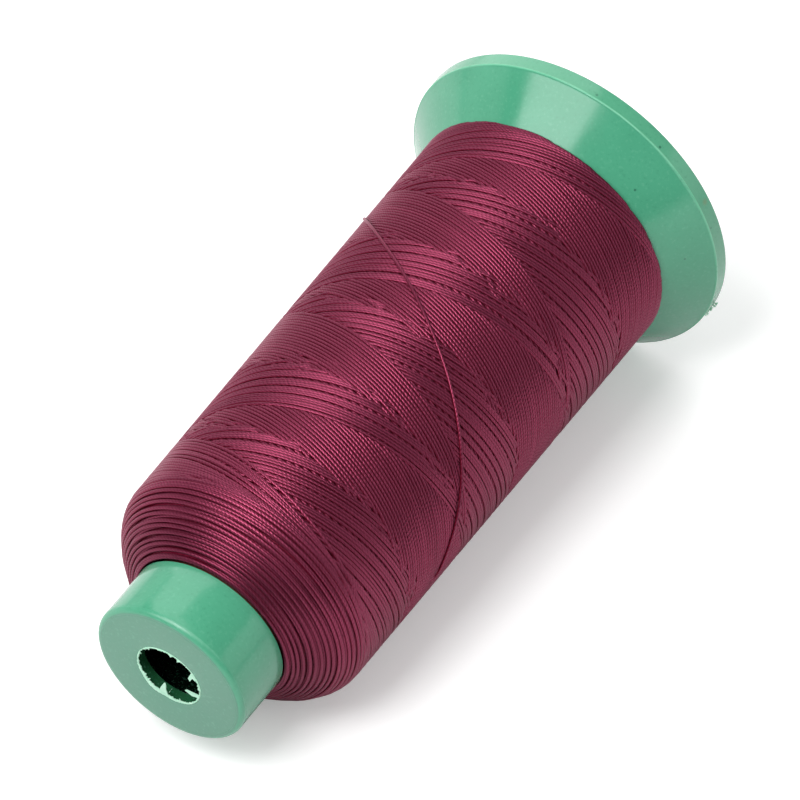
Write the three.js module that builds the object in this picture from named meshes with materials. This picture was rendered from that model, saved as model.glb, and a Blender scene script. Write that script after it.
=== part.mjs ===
// A spool of waxed thread, lying on its side: it rests on the rim of its base flange and on the
// shoulder of the wound thread, so its nose dips a little and stays clear of the table.
// Millimetres, +Z up. The nose points along -Y. The origin is on the table, under the middle.
//
// Every piece is first drawn in the spool's own frame: the open edge of the base lies in the plane
// z = 0, the axis runs along +Z to the nose, and the side that lies on the table faces -Y.
import * as THREE from "three";

// ---- The moulded spool ----
const LENGTH = 147.7; // open edge of the base to the nose face
const RIM_DIAMETER = 74; // at the open edge
const RIM_DRAFT = 0.15; // how much smaller in radius the rim band is at its top
const RIM_HEIGHT = 3.5; // of the band below the conical face
const CONE_ANGLE = 48.2; // degrees, the conical face against the base plane
const BARREL_FOOT_DIAMETER = 37.2; // where the barrel leaves the cone, under the thread
const COLLAR_DIAMETER = 34.1; // of the bare end of the barrel
const COLLAR_LENGTH = 14.1; // bare length beyond the thread
const WALL = 2.2;
const NOSE_WALL = 4; // thickness of the nose face
const SPINDLE_HOLE_DIAMETER = 14.8;
const NOSE_FILLET = 0.9;
const FILLET_STEPS = 3;
const SPOOL_FACETS = 48;

// ---- The wound thread ----
const THREAD_DIAMETER = 0.75;
const PACKAGE_BASE_DIAMETER = 58.6; // over the thread, at the conical face
const PACKAGE_NOSE_DIAMETER = 55.6; // over the thread, where the shoulder starts
const SHOULDER_LENGTH = 11.9; // along the axis, down to the collar
const SHOULDER_ROUNDING = 1.62; // how gently the shoulder starts
const SHOULDER_SLOPE = 1.13; // how evenly it then falls
const SHOULDER_STEPS = 8;
const PASSES = 5; // to the nose and back in turn; the last one goes on into the close turns
const PASS_HALF_TURNS = 5; // in each pass, to which a sixth of a turn is added
const CLOSE_TURNS = 9; // over the shoulder
const PASS_GAP = 0.5; // between two passes where they cross
const TURNING_MARGIN = 2; // from the turning points to either end of the straight winding
const TURNING_STEPS = 4; // steps in which a pass slows down and turns back
const STEPS_PER_TURN = 24;
const THREAD_SIDES = 6;

// ---- The last strand, pulled steeply over the finished package ----
const STRAND_ANGLE = 60; // degrees round the spool, from the table to where it leaves the turns
const STRAND_START = 96; // height above the base there
const STRAND_END = 22; // height above the base where it is tucked in again
const STRAND_TRAVEL = 0.353; // towards the base, in one degree round the spool

const CLEARANCE = 0.3; // between pieces that touch on the real object
const GAP_SAMPLES = 4; // points on each step of the thread, for measuring its least gap

const rimRadius = RIM_DIAMETER / 2;
const creaseRadius = rimRadius - RIM_DRAFT;
const holeRadius = SPINDLE_HOLE_DIAMETER / 2;
const collarRadius = COLLAR_DIAMETER / 2;
const footRadius = BARREL_FOOT_DIAMETER / 2;
const threadRadius = THREAD_DIAMETER / 2;
const coneSlope = Math.tan(THREE.MathUtils.degToRad(CONE_ANGLE));
const coneNormal = new THREE.Vector2(coneSlope, 1).normalize(); // as radius and height
const packageBase = coneHeight(PACKAGE_BASE_DIAMETER / 2);
const packageEnd = LENGTH - COLLAR_LENGTH;
const shoulderStart = packageEnd - SHOULDER_LENGTH;

// A lane is the depth at which a pass lies. Passes to the nose lie in lane 0, passes to the base
// cross over them in lane 1, flush with the outside of the package.
const laneStep = THREAD_DIAMETER + PASS_GAP;
const windingDepth = THREAD_DIAMETER + laneStep + CLEARANCE;

// How far the middle of a facet lies inside its corners, as a share of the radius.
const flatShare = Math.cos(Math.PI / STEPS_PER_TURN);

const greenPlastic = new THREE.MeshStandardMaterial({
  color: 0x58ab88,
  roughness: 0.38,
  metalness: 0,
});
const burgundyThread = new THREE.MeshStandardMaterial({
  color: 0x8c3050,
  roughness: 0.6,
  metalness: 0,
});

// Height of the conical face above the base, over a radius.
function coneHeight(radius) {
  return RIM_HEIGHT + (creaseRadius - radius) * coneSlope;
}

// Outside radius of the barrel, drafted from the cone to the collar.
function barrelRadius(height) {
  const foot = coneHeight(footRadius);
  const share = Math.min((height - foot) / (packageEnd - foot), 1);
  return THREE.MathUtils.lerp(footRadius, collarRadius, share);
}

// What is left of the shoulder's height over the collar, after a share of its length.
function shoulderFall(share) {
  const round = 1 - Math.pow(Math.min(share, 1), SHOULDER_ROUNDING);
  return Math.pow(round, 1 / SHOULDER_SLOPE);
}

// Outside radius of the wound thread: a slight taper, then the rounded shoulder.
function packageRadius(height) {
  const base = PACKAGE_BASE_DIAMETER / 2;
  const nose = PACKAGE_NOSE_DIAMETER / 2;
  if (height < shoulderStart) {
    return THREE.MathUtils.mapLinear(height, packageBase, shoulderStart, base, nose);
  }
  const share = (height - shoulderStart) / SHOULDER_LENGTH;
  return collarRadius + (nose - collarRadius) * shoulderFall(share);
}

// Radius of the middle of the thread in a lane.
function laneRadius(height, lane) {
  return packageRadius(height) - threadRadius - (1 - lane) * laneStep;
}

// A solid turned about the axis, with the middle of one facet towards the table.
function turned(outline, facets) {
  const profile = outline.map(([radius, height]) => new THREE.Vector2(radius, height));
  const geometry = new THREE.LatheGeometry(profile, facets, Math.PI / facets);
  return geometry.rotateX(Math.PI / 2);
}

// The spool: rim band, conical face, barrel, collar and nose, hollow from the base to the nose.
function spoolBody() {
  const innerRim = rimRadius - WALL;
  const innerFoot = footRadius - WALL;
  const innerCone = (radius) => coneHeight(radius) - WALL / coneNormal.y;
  const outline = [
    [innerRim, 0],
    [rimRadius, 0],
    [creaseRadius, RIM_HEIGHT],
    [footRadius, coneHeight(footRadius)],
    [collarRadius, packageEnd],
  ];
  for (let i = 0; i <= FILLET_STEPS; i++) {
    const turn = (i / FILLET_STEPS) * (Math.PI / 2);
    const inset = 1 - Math.cos(turn);
    const drop = 1 - Math.sin(turn);
    outline.push([collarRadius - NOSE_FILLET * inset, LENGTH - NOSE_FILLET * drop]);
  }
  outline.push(
    [holeRadius, LENGTH],
    [holeRadius, LENGTH - NOSE_WALL],
    [collarRadius - WALL, LENGTH - NOSE_WALL],
    [innerFoot, innerCone(innerFoot)],
    [innerRim, innerCone(innerRim)],
    [innerRim, 0],
  );
  return turned(outline, SPOOL_FACETS);
}

// The layers of thread under the outer one, clear of the barrel and of the conical face. They
// have as many facets as the thread has steps, so the thread keeps its distance all round.
function innerLayers() {
  const onCone = (radius) => coneHeight(radius * flatShare) + CLEARANCE / coneNormal.y;
  const overBarrel = (height) => (barrelRadius(height) + CLEARANCE) / flatShare;
  const outerFoot = packageRadius(packageBase) - windingDepth;
  const innerFoot = (footRadius + CLEARANCE) / flatShare;
  const shoulder = packageRadius(shoulderStart) - windingDepth;
  const top = packageEnd - windingDepth;
  const outline = [
    [innerFoot, onCone(innerFoot)],
    [outerFoot, onCone(outerFoot)],
  ];
  for (let i = 0; i <= SHOULDER_STEPS; i++) {
    const share = i / SHOULDER_STEPS;
    const inside = overBarrel(top);
    outline.push([
      inside + (shoulder - inside) * shoulderFall(share),
      THREE.MathUtils.lerp(shoulderStart, top, share),
    ]);
  }
  outline.push(outline[0]);
  return turned(outline, STEPS_PER_TURN);
}

// A point at a radius and a height, a number of steps round the spool. The middle of the side on
// the table lies half a step before step 0.
function around(step, radius, height) {
  const angle = ((step + 0.5) / STEPS_PER_TURN) * 2 * Math.PI;
  return new THREE.Vector3(radius * Math.sin(angle), -radius * Math.cos(angle), height);
}

// Share of a pass that is covered after a share of its steps, with a slow start and a slow end.
function eased(share, slow) {
  const full = 1 - slow;
  if (share < slow) {
    return share ** 2 / (2 * slow * full);
  }
  if (share > full) {
    return 1 - (1 - share) ** 2 / (2 * slow * full);
  }
  return (share - slow / 2) / full;
}

// Places along the close turns: even distances along the outside of the shoulder, from a height
// to where the thread can still turn in to the collar.
function shoulderPlaces(start, count) {
  const fine = 400;
  const innermost = collarRadius + CLEARANCE + THREAD_DIAMETER;
  const curve = [];
  for (let i = 0; i <= fine; i++) {
    const height = THREE.MathUtils.lerp(start, packageEnd, i / fine);
    const radius = laneRadius(height, 1);
    if (radius < innermost) {
      break;
    }
    curve.push(new THREE.Vector2(radius, height));
  }
  const path = new THREE.SplineCurve(curve);
  path.arcLengthDivisions = fine;
  return path.getSpacedPoints(count).slice(1);
}

// The stations of the outer layer: one unbroken thread that starts at the conical face, runs up
// and down between the turning points, and ends in close turns at the collar.
function outerStations() {
  const low = packageBase + TURNING_MARGIN + THREAD_DIAMETER;
  const high = shoulderStart - TURNING_MARGIN;
  // The sixth of a turn leaves the passes of one lane a third of a turn apart.
  const steps = (PASS_HALF_TURNS / 2 + 1 / 6) * STEPS_PER_TURN;
  const stations = [];
  const root = laneRadius(low, 0.5) - THREAD_DIAMETER;
  for (const lift of [CLEARANCE, CLEARANCE + THREAD_DIAMETER]) {
    stations.push({
      step: 0,
      radius: root + lift * coneNormal.x,
      height: coneHeight(root) + lift * coneNormal.y,
    });
  }
  let step = 1;
  for (let pass = 0; pass < PASSES; pass++) {
    const last = pass === PASSES - 1;
    const lane = pass % 2;
    const nextLane = last ? 1 : 0.5;
    const from = lane === 0 ? low : high;
    const to = lane === 0 ? high : low;
    const end = last ? shoulderStart : to;
    for (let i = pass === 0 ? 0 : 1; i <= steps; i++) {
      const travel = eased(i / steps, TURNING_STEPS / steps);
      const height = THREE.MathUtils.lerp(from, end, travel);
      const entering = Math.max(0, 1 - i / TURNING_STEPS) * (0.5 - lane);
      const leaving = Math.max(0, 1 - (steps - i) / TURNING_STEPS) * (nextLane - lane);
      stations.push({ step, radius: laneRadius(height, lane + entering + leaving), height });
      step += 1;
    }
  }
  for (const place of shoulderPlaces(shoulderStart, CLOSE_TURNS * STEPS_PER_TURN)) {
    stations.push({ step, radius: place.x, height: place.y });
    step += 1;
  }
  const end = stations[stations.length - 1];
  stations.push({ ...end, radius: end.radius - THREAD_DIAMETER });
  return stations;
}

// Points along a thread, close enough together to measure gaps between them.
function pointsAlong(stations) {
  const corners = stations.map(({ step, radius, height }) => around(step, radius, height));
  const points = [];
  for (let i = 0; i + 1 < corners.length; i++) {
    for (let k = 0; k < GAP_SAMPLES; k++) {
      points.push(corners[i].clone().lerp(corners[i + 1], k / GAP_SAMPLES));
    }
  }
  return points;
}

// The stations of the last strand: out of the turns, steeply round to the base, and in again,
// each time at the place nearby where the turns leave it most room.
function strandStations(turns) {
  const first = Math.round((STRAND_ANGLE / 360) * STEPS_PER_TURN);
  const travel = STRAND_TRAVEL * (360 / STEPS_PER_TURN);
  const count = Math.round((STRAND_START - STRAND_END) / travel);
  const turnPoints = pointsAlong(turns);
  const place = (i) => {
    const height = STRAND_START - i * travel;
    const radius = packageRadius(height) + CLEARANCE + threadRadius;
    return { step: first + i, radius, height };
  };
  const goingIn = (i) => {
    const inside = packageRadius(place(i).height) - windingDepth + CLEARANCE;
    return [inside, inside + THREAD_DIAMETER].map((radius) => ({ ...place(i), radius }));
  };
  const room = (i) => {
    const points = pointsAlong([...goingIn(i), place(i)]);
    const gaps = points.flatMap((point) => turnPoints.map((other) => point.distanceTo(other)));
    return Math.min(...gaps);
  };
  const roomiest = (candidates) => candidates.reduce((a, b) => (room(b) > room(a) ? b : a));
  const start = roomiest([-1, 0, 1]);
  const end = roomiest([count - 1, count, count + 1]);
  const stations = goingIn(start);
  for (let i = start + 1; i < end; i++) {
    stations.push(place(i));
  }
  return [...stations, ...goingIn(end).reverse()];
}

// A round thread along stations, closed at both ends.
function threadGeometry(stations) {
  const points = stations.map(({ step, radius, height }) => around(step, radius, height));
  const axis = new THREE.Vector3(0, 0, 1);
  const positions = [];
  const last = points.length - 1;
  points.forEach((point, i) => {
    const before = points[Math.max(i - 1, 0)];
    const after = points[Math.min(i + 1, last)];
    const ahead = after.clone().sub(point).normalize();
    const behind = point.clone().sub(before).normalize();
    const along = ahead.add(behind).normalize();
    const aside = axis.clone().addScaledVector(along, -axis.dot(along)).normalize();
    const outward = new THREE.Vector3().crossVectors(along, aside);
    for (let k = 0; k < THREAD_SIDES; k++) {
      const turn = (k / THREAD_SIDES) * 2 * Math.PI;
      const corner = point.clone();
      corner.addScaledVector(outward, threadRadius * Math.cos(turn));
      corner.addScaledVector(aside, threadRadius * Math.sin(turn));
      positions.push(...corner.toArray());
    }
  });
  const faces = [];
  for (let i = 0; i < last; i++) {
    for (let k = 0; k < THREAD_SIDES; k++) {
      const a = i * THREAD_SIDES + k;
      const b = i * THREAD_SIDES + ((k + 1) % THREAD_SIDES);
      faces.push(a, a + THREAD_SIDES, b, b, a + THREAD_SIDES, b + THREAD_SIDES);
    }
  }
  const lastRing = last * THREAD_SIDES;
  for (let k = 1; k < THREAD_SIDES - 1; k++) {
    faces.push(0, k, k + 1);
    faces.push(lastRing, lastRing + k + 1, lastRing + k);
  }
  const geometry = new THREE.BufferGeometry();
  geometry.setAttribute("position", new THREE.Float32BufferAttribute(positions, 3));
  geometry.setIndex(faces);
  return geometry;
}

// The least gap of a thread to itself, between places more than a third of a turn apart on it.
function leastGap(stations) {
  const points = pointsAlong(stations);
  const apart = (STEPS_PER_TURN / 3) * GAP_SAMPLES;
  let least = Infinity;
  for (let i = 0; i < points.length; i++) {
    for (let k = i + apart; k < points.length; k++) {
      least = Math.min(least, points[i].distanceTo(points[k]));
    }
  }
  return least - THREAD_DIAMETER;
}

// How far the spool tips forward: the line from the rim's crease that just clears every turn on
// the side towards the table.
function restingTilt(stations) {
  const rimFlat = creaseRadius * Math.cos(Math.PI / SPOOL_FACETS);
  const slopes = stations
    .filter(({ step }) => step % STEPS_PER_TURN === 0 && step > 0)
    .map(({ radius, height }) => {
      const flat = (radius + threadRadius) * flatShare;
      return (flat - rimFlat) / (height - RIM_HEIGHT);
    });
  return Math.atan(-Math.max(...slopes));
}

const outerTurns = outerStations();
console.log("least gap of the outer turns to themselves, mm:", leastGap(outerTurns).toFixed(2));

const spool = new THREE.Group();
const pieces = [
  ["spool_body", spoolBody(), greenPlastic],
  ["thread_inner_layers", innerLayers(), burgundyThread],
  ["thread_outer_turns", threadGeometry(outerTurns), burgundyThread],
  ["thread_last_strand", threadGeometry(strandStations(outerTurns)), burgundyThread],
];
for (const [name, geometry, material] of pieces) {
  const mesh = new THREE.Mesh(geometry, material);
  mesh.name = name;
  spool.add(mesh);
}

// Laid on the table, with the origin under the middle of its outline.
spool.rotation.x = Math.PI / 2 + restingTilt(outerTurns);
const object = new THREE.Group();
object.add(spool);
const outline = new THREE.Box3().setFromObject(object, true);
const middle = outline.getCenter(new THREE.Vector3());
spool.position.set(-middle.x, -middle.y, -outline.min.z);

export default object;
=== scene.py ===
# A spool of waxed thread lying on its side. The thread is wound turn by turn, as one unbroken path,
# over a moulded spool with rounded edges, flash and specks of dirt, and lit as in the photograph.
# Sizes are in mm and places in the spool's own frame; to_world takes them to the CAD's, in metres.
import math
import bpy
import numpy as np
from mathutils import Euler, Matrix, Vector


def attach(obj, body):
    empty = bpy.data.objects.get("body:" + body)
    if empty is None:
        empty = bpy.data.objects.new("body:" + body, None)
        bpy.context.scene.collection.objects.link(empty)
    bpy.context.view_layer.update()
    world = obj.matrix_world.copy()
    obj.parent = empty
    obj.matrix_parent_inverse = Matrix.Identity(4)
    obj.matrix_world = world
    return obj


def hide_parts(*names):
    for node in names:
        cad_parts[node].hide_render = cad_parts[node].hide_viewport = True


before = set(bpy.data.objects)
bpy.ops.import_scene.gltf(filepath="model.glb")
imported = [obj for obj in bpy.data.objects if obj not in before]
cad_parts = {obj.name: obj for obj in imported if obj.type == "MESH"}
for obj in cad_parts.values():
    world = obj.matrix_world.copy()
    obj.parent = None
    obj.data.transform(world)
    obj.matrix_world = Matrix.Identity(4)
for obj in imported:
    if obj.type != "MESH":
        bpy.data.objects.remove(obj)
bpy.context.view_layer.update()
rng = np.random.default_rng(7)

# ---- Where the spool lies, as the CAD lays it. In the spool's own frame the open edge of the base
# is the plane z = 0, the nose points along +z and the side on the table faces -y ----
NOSE_DIP = 4.50098  # degrees by which the nose points down
BASE_CENTRE = np.array([0.0, 72.80588, 36.94546])  # of the base plane, in the CAD's frame
TURN_ZERO = 152.94  # degrees round the spool from the table to the side that faces the camera
TABLE_GAP = 0.00002  # metres between the table and the lowest point

# ---- The moulded spool, as in the CAD ----
LENGTH = 147.7
RIM_RADIUS = 37.0
CREASE_RADIUS = 36.85
RIM_HEIGHT = 3.5
CONE_SLOPE = math.tan(math.radians(48.2))
FOOT_RADIUS = 18.6
COLLAR_RADIUS = 17.05
PACKAGE_END = 133.6
WALL = 2.2
HOLE_RADIUS = 7.4

# ---- Where this spool differs from the CAD's or goes further ----
NOSE_WALL = 2.7  # thinner than in the CAD, as it shows through the hole
STEP_IN = 0.8  # by which the barrel is thinner than the collar, under the last turns
EDGE_FILLET = 0.45  # of the base's open edge
NOSE_FILLET = 1.25
FOOT_FILLET = 1.5
CRISP = 0.12  # fillet of the edges that look sharp
HOLE_INNER_FILLET, COLLAR_INNER_FILLET = 0.2, 0.6
FOOT_INNER_FILLET, RIM_INNER_FILLET = 3.0, 0.8
# the fine bead along the crease: radius and height from the crease, and fillet
CREASE_BEAD = ((0.0, -0.3, 0.05), (0.05, -0.06, 0.1), (-0.05, 0.18, CRISP))
CREASE_WIDTH = 0.3  # from the crease to where the cone runs straight
SPOOL_SEGMENTS = 240

# ---- The package's profile: radius and height where it meets the cone, where its shoulder starts
# and where the shoulder ends at the collar ----
PACKAGE_FOOT = (29.3, 12.0)
SHOULDER_START = (27.78, 121.67)
SHOULDER_END = (17.05, 133.58)
SHOULDER_ROUNDING = 1.62  # how gently the shoulder starts
SHOULDER_SLOPE = 1.13  # how evenly it then falls
PROFILE_LOW = 8.0  # height from which the profile is worked out
PROFILE_POINTS = 6001
PROFILE_CROWDING = 1.6  # exponent by which they crowd on the steep shoulder
PROFILE_STEP = 0.3  # to either side of a place, for the slope there
PROUD = 0.28  # by which the threads' crowns stand out of this profile

# ---- The cross winding: strokes to and fro, in degrees round the spool and mm along it ----
STROKES = 50  # each way
STEP_BACK = 7.2  # degrees by which six turns, there and back, fall short
STROKE_TURN = (6 * 360 - STEP_BACK) / 2
PERIOD = 2 * STROKE_TURN
NOSE_APEX = 125.0  # heights between which the strokes would run with sharp turning points
BASE_APEX = 11.38
TRAVEL = (NOSE_APEX - BASE_APEX) / STROKE_TURN
DOWN_START = 33.0  # turn at which the newest stroke down would reach z = 0
START_ANGLE = DOWN_START + (STROKES - 1) * STEP_BACK - NOSE_APEX / TRAVEL
NOSE_BEND = 150.0  # degrees over which a turning point is rounded
BASE_BEND = 60.0
NOSE_SCATTER, NOSE_SCATTER_REACH = 0.45, 80.0  # of the turning points, mm and degrees
BASE_SCATTER, BASE_SCATTER_REACH = 0.12, 50.0
STEPS = 72  # points in each turn

# the strokes up lie in bunches of so many threads, the newest first
BUNCHES = (1, 2, 2, 1, 2, 3, 3, 3, 2, 2, 3, 1, 2, 1, 2, 1, 2, 2, 2, 3, 3, 2, 3, 2)
BUNCH_STEP = 5.6  # degrees between the threads of a bunch
SWAY = ((1.3, 260), (0.9, 115))  # of a bunch: two waves as degrees, and how slowly they go
JITTER = (23, 0.28)  # of single threads: points between its free values, and degrees
CALM_AT_NOSE = (60, 150)  # degrees from a turning point over which all this sets in
CALM_AT_BASE = (12, 58)

# the later stroke lies over at a crossing, but strokes of like age are mixed
LIKE_AGE = 9  # strokes
MIXED = 2.5  # strokes by which the order may be out
MOST_LAPS = 16  # more than the times that two strokes cross
DROP = 0.36  # how much deeper the lower of two crossing threads lies

# section of the threads in strokes up, in strokes down and near the turning points
WIDTH_UP, WIDTH_DOWN, WIDTH_TURNING = 0.72, 0.7, 0.76
DEPTH_UP, DEPTH_DOWN, DEPTH_TURNING = 0.57, 0.62, 0.6
WIDTH_JITTER, SUNK_JITTER = (31, 0.012), (17, 0.012)  # points between free values, and mm
SUNK = 0.03  # how far the upper thread's crown lies under the outside
TAIL_TURN, TAIL_DEPTH = 90, 1.2  # over its last degrees the thread dives in under the others
CONE_CLEAR = 0.02  # between the threads and the conical face
COLLAR_CLEAR = 0.4  # least radius of a thread's middle over the collar's

# ---- The close turns over the shoulder ----
# places along the profile, from the shoulder's start, with the last turn beside the collar
CLOSE_PLACES = (
    -0.9, 0.45, 1.3, 2.3, 3.45, 4.6, 5.7, 6.75, 7.8, 8.9, 10.0, 11.15, 12.35, 13.45, 14.6, 15.8, 15.85,
)
CLOSE_TURNS = len(CLOSE_PLACES) - 1
CLOSE_WIDTH, CLOSE_DEPTH = 0.88, 0.66
CLOSE_SUNK = 0.36  # depth of the upper turns' middle
UNDER_SUNK = 0.42  # how much deeper the lower turns lie
UNDER_ASIDE = 0.55  # how much nearer to the collar they lie
UNDER_BACK = 0.7  # how far the one under the last turn stays back, which leaves a dark gap
LAST_NARROWER = 0.14  # how much narrower the last turn is
# how they wave: mm, waves in a turn, and the phase that each turn adds and that it has at the collar
CLOSE_WAVES = ((0.19, 1, 0.35, 0), (0.13, 2, 0.6, 2))
CLOSE_JITTER, CLOSE_SUNK_JITTER, CLOSE_WIDTH_JITTER = (29, 0.1), (23, 0.05), (37, 0.05)
JOIN_TURN = 200  # degrees over which the close turns run on into the strokes
DIVE_TURN = 140  # degrees over which they go down under the strokes

# ---- The last strand: turns from the camera's side, and heights ----
STRAND_TURNS = (-86, 160)
STRAND_HEIGHT = 69.6  # where it faces the camera
STRAND_TRAVEL = 0.353  # towards the base, in one degree
STRAND_LOWEST = 13.9
STRAND_BEND = 6  # degrees by which its start is bent towards the base
STRAND_TUCKED = 0.75  # depth of its ends' middle under the threads' crowns
STRAND_OVER = 0.12  # height of its own middle over them on the way
STRAND_DIVE = 14  # degrees over which an end goes in
STRAND_WIDTH, STRAND_DEPTH = 0.62, 0.6

# ---- The layers under the outer thread ----
CORE_LOWEST = 13.2
CORE_SHORT = 0.9  # by which they stop short of the collar
CORE_SUNK = 1.28  # under the threads' crowns
CORE_RIDGE, CORE_RIDGE_DEPTH = 0.36, 0.08  # half the spacing of their faint ridges, and the depth
CORE_FOOT = 0.35  # their radius over the barrel's at its foot
CORE_CONE_CLEAR = (0.2, 0.3)  # height over the conical face, at least and at their lowest points
CORE_COLLAR_CLEAR = 0.15
CORE_SEGMENTS = 96


def cone_height(radius):
    return RIM_HEIGHT + (CREASE_RADIUS - radius) * CONE_SLOPE


def ramp(value, start, end):
    """0 before start, 1 after end, and straight between them."""
    return np.clip((value - start) / (end - start), 0, 1)


def smoothstep(share):
    return share * share * (3 - 2 * share)


def smooth_noise(count, step, size):
    """A seeded wave with one free value every step samples."""
    knots = rng.normal(0, size, count // step + 4)
    at = np.arange(count) / step + 1
    knot = at.astype(int)
    share = smoothstep(at - knot)
    return knots[knot] * (1 - share) + knots[knot + 1] * share


def length_along(points):
    """How far along its path each point lies."""
    steps = np.linalg.norm(np.diff(points, axis=0), axis=1)
    return np.concatenate([[0], np.cumsum(steps)])


# ---- The package's profile ----
def package_radius(z):
    """Radius over the finished package: a slight taper, then the rounded shoulder."""
    foot_r, foot_z = PACKAGE_FOOT
    start_r, start_z = SHOULDER_START
    end_r, end_z = SHOULDER_END
    taper = foot_r + (start_r - foot_r) * (z - foot_z) / (start_z - foot_z)
    fall = np.clip(1 - ramp(z, start_z, end_z) ** SHOULDER_ROUNDING, 0, 1) ** (1 / SHOULDER_SLOPE)
    return np.where(z < start_z, taper, end_r + (start_r - end_r) * fall)


# points on the profile, close together where the shoulder is steep, and how far along it they lie
PROFILE_SHARES = np.linspace(1, 0, PROFILE_POINTS) ** PROFILE_CROWDING
PROFILE_Z = SHOULDER_END[1] - (SHOULDER_END[1] - PROFILE_LOW) * PROFILE_SHARES
PROFILE_R = package_radius(PROFILE_Z)
PROFILE_RUN = length_along(np.stack([PROFILE_R, PROFILE_Z], -1))
PROFILE_RUN -= np.interp(SHOULDER_START[1], PROFILE_Z, PROFILE_RUN)


def run_at(z):
    return np.interp(z, PROFILE_Z, PROFILE_RUN)


def profile(run):
    """Radius, height and outward direction of the package, so far along its profile."""

    def point(at):
        return np.interp(at, PROFILE_RUN, PROFILE_R), np.interp(at, PROFILE_RUN, PROFILE_Z)

    r, z = point(run)
    before_r, before_z = point(run - PROFILE_STEP)
    after_r, after_z = point(run + PROFILE_STEP)
    length = np.hypot(after_r - before_r, after_z - before_z)
    return r, z, (after_z - before_z) / length, -(after_r - before_r) / length


# ---- From the spool's frame to the CAD's ----
def polar(radius, turn, z):
    """Points of the spool's frame. turn is in degrees from the side that faces the camera."""
    angle = np.radians(np.asarray(turn, float) + TURN_ZERO)
    return np.stack([radius * np.sin(angle), -radius * np.cos(angle), z + 0 * angle], -1)


def to_world(points):
    lie = math.pi / 2 + math.radians(NOSE_DIP)
    c, s = math.cos(lie), math.sin(lie)
    x, y, z = points[..., 0], points[..., 1], points[..., 2]
    return (np.stack([x, c * y - s * z, s * y + c * z], -1) + BASE_CENTRE) * 0.001


def on_table(verts):
    """The points in metres, pressed flat where they would go into the table."""
    return np.maximum(verts, [-np.inf, -np.inf, TABLE_GAP])


def mesh_object(name, verts, faces, uvs=None, smooth=True):
    """verts are in metres, faces is an (n, 3) or (n, 4) array, uvs maps a name to (corners, 2)."""
    faces = np.asarray(faces, np.int32)
    face_count, corners = faces.shape
    mesh = bpy.data.meshes.new(name)
    mesh.vertices.add(len(verts))
    mesh.vertices.foreach_set("co", np.asarray(verts, np.float32).ravel())
    mesh.loops.add(face_count * corners)
    mesh.loops.foreach_set("vertex_index", faces.ravel())
    mesh.polygons.add(face_count)
    mesh.polygons.foreach_set("loop_start", np.arange(face_count, dtype=np.int32) * corners)
    for label, uv in (uvs or {}).items():
        layer = mesh.uv_layers.new(name=label)
        layer.uv.foreach_set("vector", np.asarray(uv, np.float32).ravel())
    mesh.update(calc_edges=True)
    mesh.validate()
    mesh.polygons.foreach_set("use_smooth", [smooth] * len(mesh.polygons))
    obj = bpy.data.objects.new(name, mesh)
    bpy.context.scene.collection.objects.link(obj)
    return obj


# ---- A thread ----
SECTION = np.radians([0, 36, 72, 112, 180, 248, 288, 324])  # its corners, from the crown
CAP = np.array([[0, 1, 2, 3], [0, 3, 4, 7], [4, 5, 6, 7]])  # faces that close an end
CAP_BAKE = [[0.0, 0.0], [0.001, 0.0], [0.001, 0.001], [0.0, 0.001]]  # where they lie in the atlas
CORNERS = ((0, 0), (1, 0), (1, 1), (0, 1))  # of a face: steps along the thread and round it
BAKE_MARGIN = 0.04  # on either side of a row of the atlas
DRAWN_IN = 0.5  # what is left of the section at such an end


def section_rings(path, out, width, depth):
    """The section's corners at each point of the path. out points away from what it lies on."""
    tangent = np.gradient(path, axis=0)
    tangent /= np.linalg.norm(tangent, axis=1, keepdims=True)
    side = np.cross(out, tangent)
    side /= np.linalg.norm(side, axis=1, keepdims=True)
    up = np.cross(tangent, side)
    rise = np.cos(SECTION) * depth[:, None] / 2
    reach = np.sin(SECTION) * width[:, None] / 2
    return path[:, None] + up[:, None] * rise[..., None] + side[:, None] * reach[..., None]


def tube(name, path, out, width, depth, along, tips=(True, True)):
    """A closed thread. along is its length so far, and tips says which of its ends are drawn in."""
    count, sides = len(path), len(SECTION)
    rings = section_rings(path, out, width, depth)
    for end, drawn_in in ((0, tips[0]), (count - 1, tips[1])):
        if drawn_in:
            rings[end] = path[end] + (rings[end] - path[end]) * DRAWN_IN

    step = np.repeat(np.arange(count - 1), sides)
    side = np.tile(np.arange(sides), count - 1)
    here, beside = step * sides + side, step * sides + (side + 1) % sides
    quads = np.stack([here, here + sides, beside + sides, beside], -1)
    quads = np.concatenate([quads, CAP, (count - 1) * sides + CAP[:, ::-1]])

    # the UV maps: "twist" is the length so far and the share of the way round, and "OFBake" lays the
    # turns out in rows
    share = np.append(SECTION, 2 * math.pi) / (2 * math.pi)
    rows = (count - 2) // STEPS + 1
    row, column = step // STEPS, step % STEPS
    in_row = BAKE_MARGIN + (1 - 2 * BAKE_MARGIN) * share
    twist = [[along[step + i], share[side + j]] for i, j in CORNERS]
    bake = [[(column + i) / STEPS, (row + in_row[side + j]) / rows] for i, j in CORNERS]
    twist, bake = (np.transpose(uv, (2, 0, 1)).reshape(-1, 2) for uv in (twist, bake))
    cap_twist = np.repeat([[along[0], 0.0], [along[-1], 0.0]], CAP.size, axis=0)
    cap_bake = np.tile(CAP_BAKE, (2 * len(CAP), 1))
    uvs = {"OFBake": np.concatenate([bake, cap_bake]), "twist": np.concatenate([twist, cap_twist])}
    return mesh_object(name, on_table(to_world(rings.reshape(-1, 3))), quads, uvs)


# ---- The winding ----
def bend(distance, width):
    """The distance from a turning point, rounded where it is less than half the width."""
    return np.where(distance < width / 2, distance**2 / width + width / 4, distance)


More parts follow.
